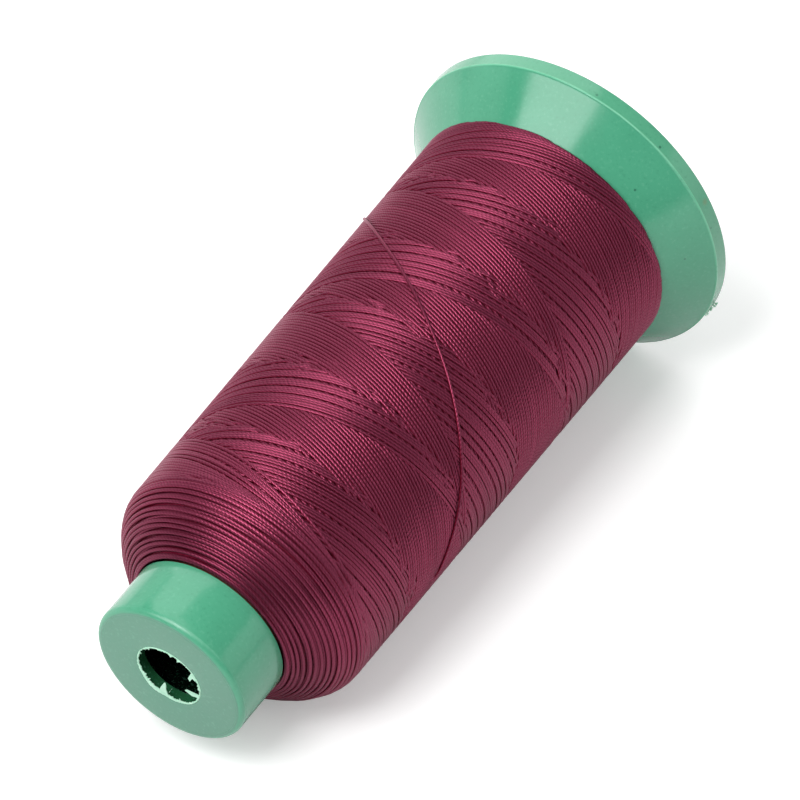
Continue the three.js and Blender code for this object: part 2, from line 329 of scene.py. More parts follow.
def stroke_heights(t, nose, to_nose, to_base):
    """Heights of the strokes, whose turning points are rounded and a little scattered."""
    base = np.floor(t / PERIOD).astype(int)
    nose_shift = rng.normal(0, NOSE_SCATTER, STROKES + 1)[nose]
    base_shift = np.abs(rng.normal(0, BASE_SCATTER, STROKES + 1))[base]
    nose_shift *= np.exp(-((to_nose / NOSE_SCATTER_REACH) ** 2))
    base_shift *= np.exp(-((to_base / BASE_SCATTER_REACH) ** 2))
    from_nose = NOSE_APEX - TRAVEL * bend(to_nose, NOSE_BEND) - nose_shift
    from_base = BASE_APEX + TRAVEL * bend(to_base, BASE_BEND) + base_shift
    return np.where(to_nose < STROKE_TURN / 2, from_nose, from_base)


def bunching(nose, x, upward):
    """Degrees by which the threads lie away from an even spacing."""
    newest_first = STROKES - 1 - nose
    bunch = np.repeat(np.arange(len(BUNCHES)), BUNCHES)[newest_first]
    within = np.concatenate([(size - 1) / 2 - np.arange(size) for size in BUNCHES])[newest_first]
    phase = rng.uniform(0, 2 * math.pi, (len(BUNCHES), 2))
    sway = sum(size * np.sin(x / slow + phase[bunch, k]) for k, (size, slow) in enumerate(SWAY))
    moved = np.where(upward, within * (STEP_BACK - BUNCH_STEP) + sway, 0)
    return moved + smooth_noise(len(x), *JITTER)


def crossing_levels(nose, x, upward):
    """1 where a thread lies over the one that it crosses, 0 where it lies under, smooth between."""
    crossings = nose - 2 * x / STEP_BACK  # counted along each stroke
    mixed = rng.normal(0, MIXED, (STROKES + 1, STROKES, MOST_LAPS))

    def over_at(crossing):
        other = np.mod(crossing, STROKES).astype(int)
        lap = np.abs(np.floor(crossing / STROKES)).astype(int) % MOST_LAPS
        stroke_up, stroke_down = np.where(upward, nose, other), np.where(upward, other, nose)
        like_age = np.abs(nose - other) < LIKE_AGE
        out_of_order = np.where(like_age, mixed[stroke_up, stroke_down, lap], 0)
        upward_over = stroke_down < stroke_up + out_of_order
        return np.where(upward, upward_over, ~upward_over).astype(float)

    last = np.floor(crossings)
    share = smoothstep(crossings - last)
    return over_at(last) * (1 - share) + over_at(last + 1) * share


def crossing_strokes():
    """The strokes' points: turn, place along the profile, depth of the thread's middle there, and
    width and depth of its section."""
    t = np.arange(0, (STROKES - 0.5) * PERIOD, 360 / STEPS)
    nose = np.round(t / PERIOD).astype(int)  # the nearest turning point at the nose
    x = t - nose * PERIOD  # degrees from it, below 0 on the way up
    upward = x < 0
    to_nose = np.abs(x)
    to_base = STROKE_TURN - to_nose
    z = stroke_heights(t, nose, to_nose, to_base)
    inner = smoothstep(np.minimum(ramp(to_nose, *CALM_AT_NOSE), ramp(to_base, *CALM_AT_BASE)))
    z -= bunching(nose, x, upward) * inner * TRAVEL
    level = crossing_levels(nose, x, upward)
    width = np.where(upward, WIDTH_UP, WIDTH_DOWN) + smooth_noise(len(t), *WIDTH_JITTER)
    width = width * inner + WIDTH_TURNING * (1 - inner)
    depth = np.where(upward, DEPTH_UP, DEPTH_DOWN) * inner + DEPTH_TURNING * (1 - inner)
    sunk = depth / 2 + SUNK + (1 - level) * DROP + smooth_noise(len(t), *SUNK_JITTER)
    sunk += TAIL_DEPTH * ramp(t, t[-1] - TAIL_TURN, t[-1]) ** 2
    return START_ANGLE + t, run_at(z), sunk, width, depth


def close_turns(end):
    """The same for the turns over the shoulder, first the lower ones and then, on the way back from
    the collar, the upper ones. They run on into the place end, where the strokes start."""
    t = np.arange(-2 * CLOSE_TURNS * 360, 0, 360 / STEPS)
    to_collar = np.abs(t / 360 + CLOSE_TURNS)  # in turns
    over = t >= -CLOSE_TURNS * 360
    turn = START_ANGLE + t
    angle = np.radians(turn)
    wave = smooth_noise(len(t), *CLOSE_JITTER)
    for size, times, drift, phase in CLOSE_WAVES:
        wave += size * np.sin(times * angle + to_collar * drift + phase)
    fade = ramp(to_collar, CLOSE_TURNS, CLOSE_TURNS - 1) * ramp(to_collar, -0.3, 0.7)
    run = np.interp(CLOSE_TURNS - to_collar, np.arange(CLOSE_TURNS + 1), CLOSE_PLACES)
    run += fade * np.where(over, wave, UNDER_ASIDE - wave)
    run -= np.where(over, 0, UNDER_BACK * ramp(to_collar, 0, 0.15) * ramp(to_collar, 1.3, 0.3))
    run += (end - run[-1]) * ramp(t, -JOIN_TURN, 0) ** 2
    sunk = CLOSE_SUNK + np.where(over, 0, UNDER_SUNK) + smooth_noise(len(t), *CLOSE_SUNK_JITTER)
    sunk += np.where(over, DROP * ramp(t, -DIVE_TURN, 0), 0)
    width = CLOSE_WIDTH + smooth_noise(len(t), *CLOSE_WIDTH_JITTER)
    width -= LAST_NARROWER * ramp(to_collar, 1.5, 0.5)
    return turn, run, sunk, width, np.full(len(t), CLOSE_DEPTH)


def winding():
    """The whole thread, one unbroken path: its points, outward directions, widths and depths, and
    how many of the points are close turns."""
    strokes = crossing_strokes()
    close = close_turns(strokes[1][0])
    turn, run, sunk, width, depth = (np.concatenate(both) for both in zip(close, strokes))
    r, z, out_r, out_z = profile(run)
    r = np.maximum(r - out_r * (sunk - PROUD), COLLAR_RADIUS + COLLAR_CLEAR)
    # no turn goes into the conical face
    lowest = cone_height(r) + (depth / 2 + CONE_CLEAR) / math.cos(math.atan(CONE_SLOPE))
    z = np.maximum(z - out_z * (sunk - PROUD), lowest)
    return polar(r, turn, z), polar(out_r, turn, out_z), width, depth, len(close[0])


path, out, width, depth, close_end = winding()
along = length_along(path)
stroke_points = len(path) - close_end
pieces = []
names = ["shoulder_turns", "winding_oldest", "winding_older", "winding_newer", "winding_newest"]
quarters = [close_end + round(stroke_points * quarter / 4) for quarter in range(4)]
cuts = [0, *quarters, len(path) - 1]
for name, first, last in zip(names, cuts, cuts[1:]):
    span = slice(first, last + 1)
    tips = (first == 0, last == len(path) - 1)
    piece = tube(name, path[span], out[span], width[span], depth[span], along[span], tips)
    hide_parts("thread_outer_turns")
    pieces.append(piece)


def last_strand():
    """The strand that lies steeply over the finished package, and goes in under it at both ends."""
    first, last = STRAND_TURNS
    turn = np.arange(first, last + 0.1, 2.0)
    bent = STRAND_BEND * ramp(turn, first + 24, first - 2) ** 2
    z = np.maximum(STRAND_HEIGHT - STRAND_TRAVEL * (turn + bent), STRAND_LOWEST)
    # it isn't quite straight
    z += 0.12 * np.sin(turn / 17 + 1) + 0.05 * np.sin(turn / 6.1)
    ride = smoothstep(ramp(turn, first, first + STRAND_DIVE) * ramp(turn, last - 2, last - STRAND_DIVE))
    proud = PROUD - STRAND_TUCKED + (STRAND_TUCKED + STRAND_OVER) * ride + 0.02 * np.sin(turn / 9)
    r, z, out_r, out_z = profile(run_at(z))
    strand_path = polar(r + out_r * proud, turn, z + out_z * proud)
    size = np.ones(len(turn))
    return tube(
        "last_strand", strand_path, polar(out_r, turn, out_z),
        STRAND_WIDTH * size, STRAND_DEPTH * size, length_along(strand_path),
    )


strand = last_strand()
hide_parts("thread_last_strand")
pieces.append(strand)


# ---- Turned pieces ----
def turned(name, outline, segments):
    """A solid of revolution round the spool's axis from a closed outline of (radius, height)."""
    outline = np.asarray(outline, float)
    corners = len(outline)
    turns = np.arange(segments) * 360 / segments
    verts = np.concatenate([polar(outline[:, 0], turn, outline[:, 1]) for turn in turns])
    ring = np.arange(segments)[:, None] * corners
    next_ring = (ring + corners) % (segments * corners)
    corner = np.arange(corners)[None]
    next_corner = (corner + 1) % corners
    quads = [ring + corner, next_ring + corner, next_ring + next_corner, ring + next_corner]
    quads = np.stack(quads, -1).reshape(-1, 4)
    place = np.tile(outline, (segments, 1))[quads.ravel()]
    return mesh_object(name, on_table(to_world(verts)), quads, {"place": place})


def rounded(points, steps=5):
    """A closed outline whose corners, given as (radius, height, fillet), are rounded."""
    result = []
    for i, (radius, height, fillet) in enumerate(points):
        corner = np.array([radius, height])
        if fillet == 0:
            result.append(corner)
            continue
        before = np.array(points[i - 1][:2]) - corner
        after = np.array(points[(i + 1) % len(points)][:2]) - corner
        before, after = before / np.linalg.norm(before), after / np.linalg.norm(after)
        half = math.acos(np.clip(before @ after, -1, 1)) / 2
        reach = fillet / math.tan(half)
        start, end = corner + before * reach, corner + after * reach
        inward = (before + after) / np.linalg.norm(before + after)
        centre = corner + inward * fillet / math.sin(half)
        for share in np.arange(steps + 1) / steps:
            away = (start - centre) * (1 - share) + (end - centre) * share
            result.append(centre + away / np.linalg.norm(away) * fillet)
    return result


def line(start_r, start_z, end_r, end_z, parts):
    """The points between two ends, without the ends, for a straight stretch in so many parts."""
    shares = [k / parts for k in range(1, parts)]
    return [(start_r + (end_r - start_r) * k, start_z + (end_z - start_z) * k, 0) for k in shares]


def spool_outline():
    """The moulded spool's section, from the base's open edge up its outside and down its inside."""
    foot = (FOOT_RADIUS, cone_height(FOOT_RADIUS))
    barrel_end = (COLLAR_RADIUS - STEP_IN, PACKAGE_END)
    above_crease = CREASE_RADIUS - CREASE_WIDTH
    hole = (HOLE_RADIUS, LENGTH)
    under_nose = LENGTH - NOSE_WALL
    inner_rim = RIM_RADIUS - WALL
    inner_foot = FOOT_RADIUS - WALL

    def inner_cone(radius):
        return cone_height(radius) - WALL / math.cos(math.atan(CONE_SLOPE))

    base = [(RIM_RADIUS, 0, EDGE_FILLET)]
    base += [(CREASE_RADIUS + out, RIM_HEIGHT + up, fillet) for out, up, fillet in CREASE_BEAD]
    base += [(above_crease, cone_height(above_crease), 0.1)]
    base += line(CREASE_RADIUS, RIM_HEIGHT, *foot, 4)
    barrel = [(*foot, FOOT_FILLET)] + line(*foot, *barrel_end, 6) + [(*barrel_end, 0)]
    collar = [(COLLAR_RADIUS, PACKAGE_END + 0.05, CRISP)]
    collar += line(COLLAR_RADIUS, PACKAGE_END, COLLAR_RADIUS, LENGTH, 4)
    nose = [(COLLAR_RADIUS, LENGTH, NOSE_FILLET)] + line(COLLAR_RADIUS, LENGTH, *hole, 3)
    nose += [(*hole, CRISP), (HOLE_RADIUS, under_nose, HOLE_INNER_FILLET)]
    inside = [(COLLAR_RADIUS - WALL, under_nose, COLLAR_INNER_FILLET)]
    inside += [(inner_foot, inner_cone(inner_foot), FOOT_INNER_FILLET)]
    inside += line(inner_foot, inner_cone(inner_foot), inner_rim, inner_cone(inner_rim), 4)
    inside += [(inner_rim, inner_cone(inner_rim), RIM_INNER_FILLET), (inner_rim, 0, EDGE_FILLET)]
    return rounded(base + barrel + collar + nose + inside)


def core_outline():
    """The layers under the outer thread: the package's profile, sunk in and faintly ridged."""
    places = np.arange(run_at(CORE_LOWEST), PROFILE_RUN[-1] - CORE_SHORT, CORE_RIDGE)
    r, z, out_r, out_z = profile(places)
    sunk = CORE_SUNK - PROUD + CORE_RIDGE_DEPTH * (np.arange(len(places)) % 2)
    r, z = r - out_r * sunk, z - out_z * sunk
    least, foot_clear = CORE_CONE_CLEAR
    clear = z > cone_height(r) + least
    ridges = list(zip(r[clear], z[clear]))
    foot = FOOT_RADIUS + CORE_FOOT
    first_r, first_z = ridges[0]
    start = [(foot, cone_height(foot) + foot_clear)]
    start += [(first_r, max(first_z, cone_height(first_r) + foot_clear))]
    return start + ridges + [(COLLAR_RADIUS + CORE_COLLAR_CLEAR, ridges[-1][1])]


spool = turned("moulded_spool", spool_outline()[::-1], SPOOL_SEGMENTS)
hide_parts("spool_body")
pieces.append(spool)

core = turned("inner_layers", core_outline()[::-1], CORE_SEGMENTS)
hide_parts("thread_inner_layers")
pieces.append(core)


# ---- Flash round the spindle hole, by (turn, radius), and crumbs of it on the base's rim ----
FLASH_OUTER = [
    (114, 7.43), (147, 7.58), (167, 8.08), (178, 8.13), (187, 7.83), (193, 7.43), (201, 7.58),
    (214, 7.58), (235, 7.43), (257, 7.38), (278, 7.43), (330, 7.43),
]
FLASH_INNER = [
    (3, 6.45), (7, 7.1), (14, 7.05), (18, 6.5), (22, 7.05), (60, 7.1), (67, 6.8),
    (72, 7.1), (115, 7.0), (141, 6.66), (160, 6.7), (174, 6.66), (183, 6.27), (201, 6.35),
    (212, 6.6), (229, 6.76), (236, 6.97), (261, 7.02), (274, 6.94), (320, 7.0), (357, 7.1),
]
# slivers inward from the hole's edge: their corners, and how far their tips are lifted
SLIVERS = [
    ([(184, 6.4), (182, 5.26), (184, 2.48), (190, 2.19), (196, 3.2), (196, 4.59), (201, 6.5)], 0.5),
    ([(-91, 4.16), (-83, 4.38), (-76, 7.3), (-83, 7.25), (-91, 5.91)], 0.2),
    ([(-24, 7.3), (-25, 7.03), (-35, 5.43), (-44, 5.46), (-36, 6.5), (-42, 6.92), (-38, 7.56)], 0.4),
    ([(-158, 5.5), (-156, 5.3), (-146, 3.66), (-147, 3.9)], 0.1),
]
SLIVER_THICKNESS = 0.2
SLIVER_ROOT, SLIVER_LENGTH = 7.2, 5.0  # the radius from which they lift, and over what length
FLASH_STEP = 1.5  # degrees between the ring's points
FLASH_ROUGHNESS = (0.06, 0.1)  # of the ring's inner edge: mean and spread
NICK_DEPTH, NICK_SHARE = 0.35, 0.08  # how deep that edge is broken, and at how many of the points
CRUMBS = 16
# within which limits their turns, radii, heights and sizes lie
CRUMB_LIMITS = ((-93, -83), (36.9, 37.5), (-0.1, 0.7), (0.18, 0.42))
OCTAHEDRON = np.array([(1, 0, 0), (-1, 0, 0), (0, 1, 0), (0, -1, 0), (0, 0, 1), (0, 0, -1)], float)
OCTAHEDRON_FACES = [
    (0, 2, 4), (2, 1, 4), (1, 3, 4), (3, 0, 4), (2, 0, 5), (1, 2, 5), (3, 1, 5), (0, 3, 5),
]


def lookup(pairs, turn):
    """The radius at a turn, straight between the pairs of (turn, radius)."""
    turns, radii = np.array(pairs, float).T
    return np.interp(turn, turns, radii, period=360)


def flash_ring():
    """The thin ragged ring of flash on the hole's edge."""
    turn = np.arange(0, 360, FLASH_STEP)
    count = len(turn)
    ragged = rng.normal(*FLASH_ROUGHNESS, count) - NICK_DEPTH * (rng.random(count) < NICK_SHARE)
    inner = lookup(FLASH_INNER, turn) + ragged
    outer = lookup(FLASH_OUTER, turn) + rng.normal(0, 0.06, count)
    rise = 0.1 + 0.05 * np.sin(np.radians(3 * turn)) + rng.normal(0, 0.02, count)
    # its section, over the crown, round the inner edge and back underneath
    section = [
        (outer, LENGTH - 0.05), (outer * 0.6 + inner * 0.4, LENGTH + rise),
        (inner + 0.12, LENGTH + rise * 0.8), (inner, LENGTH - 0.02),
        (inner + 0.1, LENGTH - 0.16), (np.maximum(outer, 7.5), LENGTH - 0.35),
    ]
    corners = len(section)
    points = np.stack([polar(radius, turn, height) for radius, height in section], 1).reshape(-1, 3)
    triangles = []
    for i in range(count):
        for j in range(corners):
            here, there = i * corners, (i + 1) % count * corners
            k = (j + 1) % corners
            triangles += [(here + j, there + j, there + k), (here + j, there + k, here + k)]
    return points, triangles


def sliver(corners, lift):
    """A thin plate that tapers and lifts towards the middle of the hole."""
    turn, radius = np.array(corners, float).T
    inward = (SLIVER_ROOT - radius) / SLIVER_LENGTH
    top = LENGTH + 0.04 + lift * np.clip(inward, 0, 1)
    upper = polar(radius, turn, top)
    lower = polar(radius, turn, top - SLIVER_THICKNESS + 0.08 * inward)
    count = len(corners)
    points = np.concatenate([upper, lower, [upper.mean(0), lower.mean(0)]])
    upper_middle, lower_middle = 2 * count, 2 * count + 1
    triangles = []
    for i in range(count):
        k = (i + 1) % count
        triangles += [(i, k, upper_middle), (count + k, count + i, lower_middle)]
        triangles += [(i, count + i, count + k), (i, count + k, k)]
    return points, triangles


def crumb(turn, radius, height, size):
    """A lopsided octahedron."""
    corners = OCTAHEDRON * size * rng.uniform(0.5, 1.2, (6, 1))
    points = polar(radius, turn, height) + corners + rng.normal(0, size * 0.15, (6, 3))
    return points, OCTAHEDRON_FACES


def merged(name, parts):
    """One faceted piece of several closed ones, each as (points in the spool's frame, triangles)."""
    verts, triangles, first = [], [], 0
    for points, faces in parts:
        verts.append(points)
        triangles.append(np.asarray(faces) + first)
        first += len(points)
    verts, triangles = to_world(np.concatenate(verts)), np.concatenate(triangles)
    return mesh_object(name, verts, triangles, smooth=False)


hole_flash = merged("hole_flash", [flash_ring()] + [sliver(*shape) for shape in SLIVERS])
crumbs = [crumb(*(rng.uniform(*limits) for limits in CRUMB_LIMITS)) for _ in range(CRUMBS)]
rim_crumbs = merged("rim_crumbs", crumbs)
pieces += [hole_flash, rim_crumbs]


# ---- Colours ----
def srgb(red, green, blue):
    """A colour as a picture shows it, of 255, as linear RGBA."""

    def linear(value):
        value /= 255
        return value / 12.92 if value <= 0.04045 else ((value + 0.055) / 1.055) ** 2.4

    return (linear(red), linear(green), linear(blue), 1)


THREAD_DARK, THREAD_LIGHT = srgb(120, 46, 70), srgb(139, 55, 82)
THREAD_TINT = srgb(248, 212, 222)  # of its sheen
THREAD_FLANK_GLOW = srgb(120, 4, 34)  # of its sides, between it and the next thread: painted red glow and shade of the gap
THREAD_GROOVE_SHADE = srgb(84, 12, 34)  # painted shade between its plies
# the fibres' random tone, lighter where their bump stands up and darker where it lies low: painted
# light and shade
FIBRE_LIGHT, FIBRE_DARK = srgb(160, 74, 100), srgb(86, 14, 38)
# painted shade on the turns beside the collar
THREAD_SHADE_AT_COLLAR = srgb(58, 8, 27)
CORE_DARK, CORE_LIGHT = srgb(150, 14, 58), srgb(176, 26, 76)
PLASTIC_DARK, PLASTIC_LIGHT = srgb(71, 154, 120), srgb(79, 162, 128)
GRAIN_DARK, GRAIN_LIGHT = srgb(60, 136, 104), srgb(110, 180, 150)
# painted shade and reflection: the nose's face is greyer and darker
NOSE_FACE_SHADE_AND_REFLECTION = srgb(78, 138, 114)
# painted shade in the hole and inside the spool
HOLE_WALL_SHADE = srgb(22, 70, 34)
INSIDE_SHADE = srgb(8, 24, 13)
# painted light on the rim band
RIM_BAND_PAINTED_LIGHT = srgb(104, 178, 142)
# painted highlight along the crease
CREASE_HIGHLIGHT = srgb(136, 222, 180)
# painted light that the thread bounces onto the barrel in the gap
THREAD_BOUNCE_LIGHT = srgb(176, 92, 84)
DIRT = srgb(30, 74, 60)
STAIN = srgb(128, 128, 84)
FLASH_DARK, FLASH_LIGHT = srgb(150, 214, 182), srgb(196, 236, 212)

RIB = 0.92  # between the ribs of the twisted plies
PLIES = 3
COLLAR_SHADE = (400.0, 1700.0)  # of thread from the last turn, over which its painted shade fades

# specks of dirt on the base: turn, radius and height, the speck's size, and how dark it is
SPECKS = [
    (14.4, 36.89, 2.6, 0.42, 0.45), (-11.4, 36.88, 2.74, 0.42, 0.6), (-16.9, 30.92, 10.13, 0.36, 0.6),
    (-52.5, 32.58, 8.27, 0.34, 0.5), (-44.4, 36.88, 2.88, 0.3, 0.4), (3.0, 34.1, 5.9, 0.25, 0.3),
    (-27.0, 33.9, 6.1, 0.25, 0.3), (66.0, 33.0, 7.0, 0.3, 0.4),
]
RIM_STAIN = (-35.4, 36.93, 1.6)
RIM_STAIN_SIZE = 1.1


# ---- Materials ----
class Shader:
    """A material being made: its nodes by short calls."""

    def __init__(self, name, roughness, specular):
        self.material = bpy.data.materials.new(name)
        self.material.use_nodes = True
        self.tree = self.material.node_tree
        self.surface = self.tree.nodes["Principled BSDF"]
        self.surface.inputs["Roughness"].default_value = roughness
        self.surface.inputs["Specular IOR Level"].default_value = specular

    def set(self, node, key, value):
        socket = node.inputs[key]
        if isinstance(value, bpy.types.NodeSocket):
            self.tree.links.new(value, socket)
        elif isinstance(value, bpy.types.Node):
            self.tree.links.new(value.outputs[0], socket)
        else:
            socket.default_value = value

    def add(self, kind, inputs=None, **settings):
        node = self.tree.nodes.new("ShaderNode" + kind)
        for key, value in settings.items():
            setattr(node, key, value)
        for key, value in (inputs or {}).items():
            self.set(node, key, value)
        return node

    def math(self, operation, a, b=0.0, c=0.0):
        return self.add("Math", {0: a, 1: b, 2: c}, operation=operation).outputs[0]

    def ramp(self, value, low, high, to_low=0.0, to_high=1.0):
        limits = {"From Min": low, "From Max": high, "To Min": to_low, "To Max": to_high}
        node = self.add("MapRange", {"Value": value, **limits}, interpolation_type="SMOOTHSTEP")
        return node.outputs[0]

    def both(self, first, second):
        return self.math("MULTIPLY", first, second)

    def apart(self, value, centre):
        return self.math("ABSOLUTE", self.math("SUBTRACT", value, centre))

    def mix(self, factor, a, b):
        node = self.add("Mix", data_type="RGBA")
        for key, value in ((0, factor), (6, a), (7, b)):
            self.set(node, key, value)
        return node.outputs[2]

    def noise(self, vector, scale, detail=2.0, roughness=0.5):
        inputs = {"Scale": scale, "Detail": detail, "Roughness": roughness, "Vector": vector}
        return self.add("TexNoise", inputs).outputs[0]

    def object_point(self):
        return self.add("TexCoord").outputs["Object"]

    def uv(self, name):
        split = self.add("SeparateXYZ", {0: self.add("UVMap", uv_map=name)})
        return split.outputs[0], split.outputs[1]

    def bump(self, height, strength, distance):
        bump = self.add("Bump", {"Height": height, "Strength": strength, "Distance": distance})
        self.set(self.surface, "Normal", bump)


def thread_material(last_turn_at):
    """Waxed twisted thread. last_turn_at is its length up to the turn beside the collar."""
    shader = Shader("waxed_thread", roughness=0.31, specular=0.38)
    shader.surface.inputs["Specular Tint"].default_value = THREAD_TINT
    length, share = shader.uv("twist")
    twist = shader.math("MULTIPLY", share, math.pi * PLIES)
    twist = shader.math("MULTIPLY_ADD", length, math.pi / RIB, twist)
    rib = shader.math("ABSOLUTE", shader.math("SINE", twist))
    sideways = shader.math("SINE", shader.math("MULTIPLY", share, 2 * math.pi))
    flank = shader.ramp(shader.math("ABSOLUTE", sideways), 0.72, 1.0)
    shader.set(shader.surface, "Metallic", shader.math("MULTIPLY_ADD", flank, -0.3, 0.73))
    fibres_along = shader.math("MULTIPLY", length, 1.1)
    fibres_round = shader.math("MULTIPLY", share, 16.0)
    fibres_at = shader.add("CombineXYZ", {0: fibres_along, 1: fibres_round})
    fibres = shader.noise(fibres_at, scale=1.6, detail=3.0, roughness=0.6)
    shader.bump(shader.math("MULTIPLY_ADD", fibres, 0.35, rib), strength=0.44, distance=0.00008)
    # the colour drifts slowly along the thread
    drift_at = shader.add("CombineXYZ", {0: shader.math("MULTIPLY", length, 0.012)})
    drift = shader.noise(drift_at, scale=1.0, detail=3.0, roughness=0.6)
    colour = shader.mix(shader.ramp(drift, 0.3, 0.7), THREAD_DARK, THREAD_LIGHT)
    # painted red glow and shade on the thread's sides, in the gaps between threads
    colour = shader.mix(flank, colour, THREAD_FLANK_GLOW)
    # painted shade in the grooves between the plies
    groove_shade = shader.ramp(rib, 0.0, 0.75, to_low=0.68, to_high=0.0)
    colour = shader.mix(groove_shade, colour, THREAD_GROOVE_SHADE)
    # random fibre tone, also painted light on raised fibres and painted shade on low ones
    colour = shader.mix(shader.ramp(fibres, 0.52, 0.75, to_high=0.5), colour, FIBRE_LIGHT)
    colour = shader.mix(shader.ramp(fibres, 0.48, 0.28, to_high=0.45), colour, FIBRE_DARK)
    # painted shade: the turns beside the collar are darker
    from_collar = shader.apart(length, last_turn_at)
    shade = shader.ramp(from_collar, *COLLAR_SHADE, to_low=0.3, to_high=0.0)
    shader.set(shader.surface, "Base Color", shader.mix(shade, colour, THREAD_SHADE_AT_COLLAR))
    return shader.material


def core_material():
    shader = Shader("inner_thread", roughness=0.6, specular=0.4)
    speckle = shader.noise(shader.object_point(), scale=900.0, detail=3.0)
    shader.set(shader.surface, "Base Color", shader.mix(speckle, CORE_DARK, CORE_LIGHT))
    shader.bump(speckle, strength=0.5, distance=0.0002)
    return shader.material


def nose_and_inside(shader, colour, radius, height, cloud):
    """The nose's face is greyer and darker, as painted shade and reflection, and mottled; the hole's
    wall dark and the inside darker are painted shade.
    """
    # painted shade and reflection on the nose's face, with a mottled tone
    face = shader.ramp(height, LENGTH - 0.12, LENGTH - 0.01)
    mottled = shader.both(face, shader.ramp(cloud, 0.2, 0.8, to_low=0.75))
    colour = shader.mix(mottled, colour, NOSE_FACE_SHADE_AND_REFLECTION)
    # painted shade: the hole's wall is dark
    wall = shader.ramp(radius, HOLE_RADIUS + 0.05, HOLE_RADIUS, to_high=0.9)
    wall = shader.both(wall, shader.ramp(height, LENGTH, LENGTH - 0.6))
    colour = shader.mix(wall, colour, HOLE_WALL_SHADE)
    # painted shade: the inside of the spool is darker
    under_nose = shader.ramp(height, LENGTH - 2.4, LENGTH - 3.2)
    inside = shader.both(under_nose, shader.ramp(height, 24.0, 40.0))
    inside = shader.both(inside, shader.ramp(radius, COLLAR_RADIUS - 0.6, COLLAR_RADIUS - 1.2))
    return shader.mix(inside, colour, INSIDE_SHADE)


def rim_and_gap(shader, colour, radius, height):
    """The rim band is lighter and a pale line runs along its crease, as painted light and highlight,
    and the barrel beside the last turn is painted brown for the light that the thread bounces into the
    gap."""
    # painted light: the rim band is lighter
    outside = shader.ramp(radius, CREASE_RADIUS - 0.5, CREASE_RADIUS - 0.3)
    band = shader.ramp(height, RIM_HEIGHT + 0.1, RIM_HEIGHT - 0.1, to_high=0.4)
    band = shader.both(outside, band)
    colour = shader.mix(band, colour, RIM_BAND_PAINTED_LIGHT)
    # painted highlight: a pale line along the crease
    from_crease = shader.apart(height, RIM_HEIGHT + 0.02)
    crease = shader.both(outside, shader.ramp(from_crease, 0.3, 0.08, to_high=0.42))
    colour = shader.mix(crease, colour, CREASE_HIGHLIGHT)
    # painted light: the barrel beside the last turn is brown with light bounced off the thread
    barrel_end = COLLAR_RADIUS - STEP_IN
    bounced_light = shader.ramp(radius, barrel_end - 0.5, barrel_end - 0.3, to_high=0.8)
    bounced_light = shader.both(bounced_light, shader.ramp(height, PACKAGE_END - 4.0, PACKAGE_END - 2.0))
    bounced_light = shader.both(bounced_light, shader.ramp(height, PACKAGE_END + 0.1, PACKAGE_END - 0.02))
    return shader.mix(bounced_light, colour, THREAD_BOUNCE_LIGHT)


def specked(shader, colour, point):
    """The colour with the specks of dirt and the brown stain on the rim."""

    def from_place(turn, radius, height):
        centre = tuple(map(float, to_world(polar(radius, turn, height))))
        node = shader.add("VectorMath", {0: point, 1: centre}, operation="DISTANCE")
        return node.outputs["Value"]

    for *place, size, dark in SPECKS:
        speck = shader.ramp(from_place(*place), size * 0.001, size * 0.0004, to_high=dark)
        colour = shader.mix(speck, colour, DIRT)
    stain = shader.ramp(from_place(*RIM_STAIN), RIM_STAIN_SIZE * 0.001, 0.0, to_high=0.45)
    return shader.mix(stain, colour, STAIN)


def plastic_material():
    shader = Shader("green_plastic", roughness=0.16, specular=0.6)
    point = shader.object_point()
    radius, height = shader.uv("place")
    cloud = shader.noise(point, scale=38.0, detail=3.0)
    grain = shader.noise(point, scale=1500.0)
    colour = shader.mix(shader.ramp(cloud, 0.35, 0.68), PLASTIC_DARK, PLASTIC_LIGHT)
    colour = nose_and_inside(shader, colour, radius, height, cloud)
    colour = rim_and_gap(shader, colour, radius, height)
    colour = shader.mix(shader.ramp(grain, 0.56, 0.75, to_high=0.3), colour, GRAIN_DARK)
    colour = shader.mix(shader.ramp(grain, 0.44, 0.25, to_high=0.25), colour, GRAIN_LIGHT)
    shader.set(shader.surface, "Base Color", specked(shader, colour, point))
    polish = shader.noise(point, scale=260.0)
    roughness = shader.ramp(polish, 0.3, 0.7, to_low=0.14, to_high=0.18)
    # the nose's rounded edge is worn duller
    worn = shader.ramp(radius, COLLAR_RADIUS - 1.7, COLLAR_RADIUS - 1.1)
    worn = shader.both(worn, shader.ramp(height, LENGTH - 1.5, LENGTH - 1.0))
    shader.set(shader.surface, "Roughness", shader.math("MULTIPLY_ADD", worn, 0.16, roughness))
    shader.bump(grain, strength=0.25, distance=0.00002)
    return shader.material


def flash_material():
    shader = Shader("plastic_flash", roughness=0.3, specular=0.5)
    grain = shader.noise(shader.object_point(), scale=1400.0)
    shader.set(shader.surface, "Base Color", shader.mix(grain, FLASH_DARK, FLASH_LIGHT))
    return shader.material


thread_look = thread_material(float(along[close_end // 2]))
core_look = core_material()
plastic_look = plastic_material()
flash_look = flash_material()
looks = {spool: plastic_look, hole_flash: flash_look, rim_crumbs: flash_look, core: core_look}
for piece in pieces:
    look = looks.get(piece, thread_look)
    piece.data.materials.append(look)
    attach(piece, "root")
# the CAD nodes keep a finish too, for whoever shows them
for name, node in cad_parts.items():
    node.data.materials.clear()
    node.data.materials.append(plastic_look if name == "spool_body" else core_look)

# ---- The studio ----
FLOOR_SIZE = 2.5  # metres from the middle to each edge
FLOOR_ALBEDO = 0.8  # as it lights the spool
FLOOR_IN_GLOSS = 0.96  # as the plastic mirrors it
FLOOR_THROUGH = 1.2  # as rays that pass through something see it
FLOOR_SEEN = 0.86  # as the camera sees it, with a glow that brings it up to white
FLOOR_GLOW = 0.33

